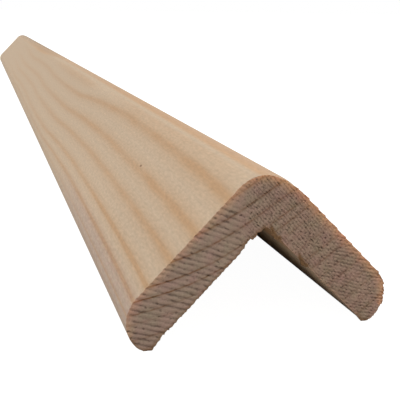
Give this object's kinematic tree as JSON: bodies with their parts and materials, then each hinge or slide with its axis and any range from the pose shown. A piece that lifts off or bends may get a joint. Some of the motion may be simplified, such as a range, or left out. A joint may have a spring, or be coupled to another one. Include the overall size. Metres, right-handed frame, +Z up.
{
  "type": "corner trim",
  "caption": "Length of solid pine angle moulding for an outside corner: two equal arms at a right angle, rounded crown and tips, flat glue faces and square-sawn ends.",
  "frame": {"origin": "midway along the length, under the crown, level with the two arm tips that the trim lies on", "axes": "+Y along the length, +X across the section from one arm to the other, +Z up through the crown"},
  "size_m": [0.0434, 0.58, 0.0258],
  "materials": {
    "pine": "planed and unfinished, ends rough sawn"
  },
  "bodies": {
    "root": {"corner_trim": "pine"}
  },
  "joints": []
}
